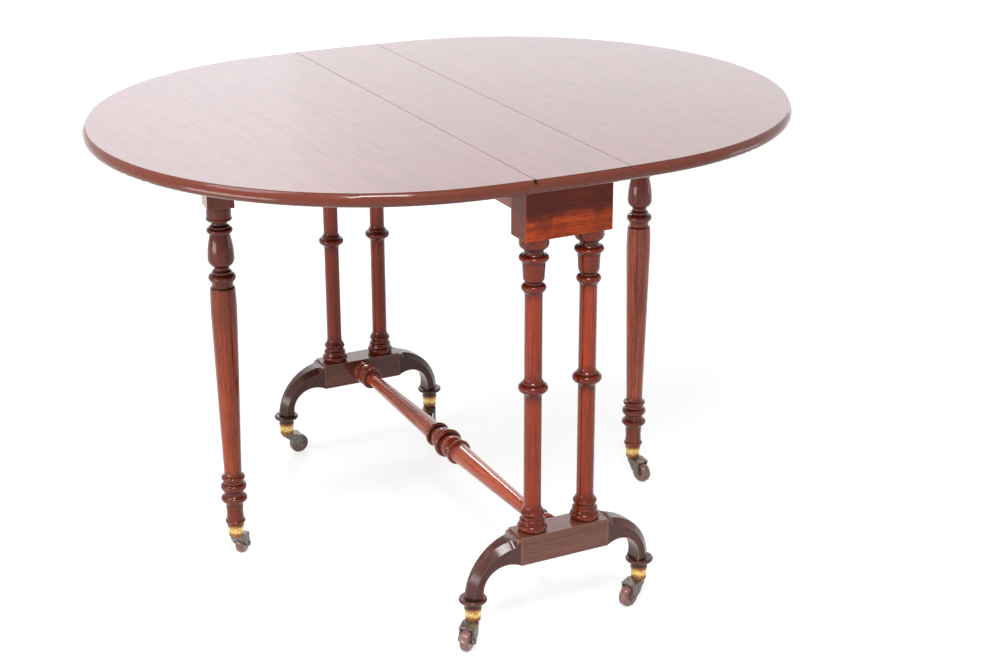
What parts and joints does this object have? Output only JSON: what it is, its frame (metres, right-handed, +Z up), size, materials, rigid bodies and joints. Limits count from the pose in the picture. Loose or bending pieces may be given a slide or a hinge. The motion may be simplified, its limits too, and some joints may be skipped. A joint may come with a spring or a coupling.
{
  "type": "sutherland table",
  "caption": "Oval drop-leaf table: narrow centre board, rule-jointed leaves, swinging turned gate legs, turned column ends, down-swept feet, brass-cupped casters.",
  "frame": {"origin": "on the floor under the middle of the open oval top", "axes": "+X across the folds from the left leaf to the right leaf, +Y along the folds from the near end to the far end, +Z up"},
  "size_m": [1.092, 0.8758, 0.71],
  "materials": {
    "top_mahogany": "french-polished mahogany, glossy",
    "frame_mahogany": "polished turned mahogany",
    "dark_mahogany": "polished dark mahogany",
    "secondary_wood": "plain sawn hardwood, matt",
    "brass_cup": "turned brass, tarnished in the hollows",
    "brass_flap": "dull old brass",
    "iron": "dark worn iron",
    "steel": "dull steel",
    "brown_china": "glossy brown glaze"
  },
  "bodies": {
    "frame": {"top_centre": "top_mahogany", "hinge_flaps_fixed": "brass_flap", "hinge_pins": "steel", "end_block_near": "frame_mahogany", "end_block_far": "frame_mahogany", "inner_rail_left": "secondary_wood", "inner_rail_right": "secondary_wood", "knuckle_rail_left": "frame_mahogany", "knuckle_rail_right": "frame_mahogany", "rail_screws": "steel", "glue_blocks": "secondary_wood", "gate_pins": "steel", "column_near_left": "frame_mahogany", "column_near_right": "frame_mahogany", "column_far_left": "frame_mahogany", "column_far_right": "frame_mahogany", "foot_block_near": "dark_mahogany", "foot_block_far": "dark_mahogany", "foot_near_left": "dark_mahogany", "foot_near_right": "dark_mahogany", "foot_far_left": "dark_mahogany", "foot_far_right": "dark_mahogany", "stretcher": "frame_mahogany", "cup_near_left": "brass_cup", "cup_near_right": "brass_cup", "cup_far_left": "brass_cup", "cup_far_right": "brass_cup"},
    "leaf_left": {"leaf_left": "top_mahogany", "hinge_flaps_leaf_left": "brass_flap"},
    "leaf_right": {"leaf_right": "top_mahogany", "hinge_flaps_leaf_right": "brass_flap"},
    "gate_left": {"fly_rail_left": "frame_mahogany", "gate_leg_left": "frame_mahogany", "cup_gate_left": "brass_cup"},
    "gate_right": {"fly_rail_right": "frame_mahogany", "gate_leg_right": "frame_mahogany", "cup_gate_right": "brass_cup"},
    "horn_near_left": {"horn_near_left": "iron", "axle_near_left": "steel"},
    "wheel_near_left": {"wheel_near_left": "brown_china"},
    "horn_near_right": {"horn_near_right": "iron", "axle_near_right": "steel"},
    "wheel_near_right": {"wheel_near_right": "brown_china"},
    "horn_far_left": {"horn_far_left": "iron", "axle_far_left": "steel"},
    "wheel_far_left": {"wheel_far_left": "brown_china"},
    "horn_far_right": {"horn_far_right": "iron", "axle_far_right": "steel"},
    "wheel_far_right": {"wheel_far_right": "brown_china"},
    "horn_gate_left": {"horn_gate_left": "iron", "axle_gate_left": "steel"},
    "wheel_gate_left": {"wheel_gate_left": "brown_china"},
    "horn_gate_right": {"horn_gate_right": "iron", "axle_gate_right": "steel"},
    "wheel_gate_right": {"wheel_gate_right": "brown_china"}
  },
  "joints": [
    {"name": "leaf_left_fold", "type": "hinge", "parent": "frame", "child": "leaf_left", "pos_m": [-0.0735, 0, 0.6924], "axis": [0, 1, 0], "range_deg": [0, 1.5]},
    {"name": "leaf_right_fold", "type": "hinge", "parent": "frame", "child": "leaf_right", "pos_m": [0.0735, 0, 0.6924], "axis": [0, -1, 0], "range_deg": [0, 1.5]},
    {"name": "gate_left_swing", "type": "hinge", "parent": "frame", "child": "gate_left", "pos_m": [-0.0465, -0.004, 0.665], "axis": [0, 0, -1], "range_deg": [-12, 82.4]},
    {"name": "gate_right_swing", "type": "hinge", "parent": "frame", "child": "gate_right", "pos_m": [0.0465, 0.004, 0.665], "axis": [0, 0, -1], "range_deg": [-3.5, 91]},
    {"name": "swivel_near_left", "type": "hinge", "parent": "frame", "child": "horn_near_left", "pos_m": [-0.1402, -0.37375, 0.0405], "axis": [0, 0, 1], "continuous": true},
    {"name": "spin_near_left", "type": "hinge", "parent": "horn_near_left", "child": "wheel_near_left", "pos_m": [-0.1568, -0.38818, 0.01675], "axis": [0.6561, -0.7547, 0], "continuous": true},
    {"name": "swivel_near_right", "type": "hinge", "parent": "frame", "child": "horn_near_right", "pos_m": [0.1402, -0.37375, 0.0405], "axis": [0, 0, 1], "continuous": true},
    {"name": "spin_near_right", "type": "hinge", "parent": "horn_near_right", "child": "wheel_near_right", "pos_m": [0.11905, -0.37981, 0.01675], "axis": [0.2756, -0.9613, 0], "continuous": true},
    {"name": "swivel_far_left", "type": "hinge", "parent": "frame", "child": "horn_far_left", "pos_m": [-0.1402, 0.37375, 0.0405], "axis": [0, 0, 1], "continuous": true},
    {"name": "spin_far_left", "type": "hinge", "parent": "horn_far_left", "child": "wheel_far_left", "pos_m": [-0.11823, 0.3749, 0.01675], "axis": [-0.0523, 0.9986, 0], "continuous": true},
    {"name": "swivel_far_right", "type": "hinge", "parent": "frame", "child": "horn_far_right", "pos_m": [0.1402, 0.37375, 0.0405], "axis": [0, 0, 1], "continuous": true},
    {"name": "spin_far_right", "type": "hinge", "parent": "horn_far_right", "child": "wheel_far_right", "pos_m": [0.1292, 0.3547, 0.01675], "axis": [0.866, -0.5, 0], "continuous": true},
    {"name": "swivel_gate_left", "type": "hinge", "parent": "gate_left", "child": "horn_gate_left", "pos_m": [-0.35576, 0.03726, 0.0405], "axis": [0, 0, 1], "continuous": true},
    {"name": "spin_gate_left", "type": "hinge", "parent": "horn_gate_left", "child": "wheel_gate_left", "pos_m": [-0.34104, 0.05361, 0.01675], "axis": [-0.7431, 0.6691, 0], "continuous": true},
    {"name": "swivel_gate_right", "type": "hinge", "parent": "gate_right", "child": "horn_gate_right", "pos_m": [0.35845, 0.00945, 0.0405], "axis": [0, 0, 1], "continuous": true},
    {"name": "spin_gate_right", "type": "hinge", "parent": "horn_gate_right", "child": "wheel_gate_right", "pos_m": [0.36452, -0.0117, 0.01675], "axis": [0.9613, 0.2756, 0], "continuous": true}
  ]
}
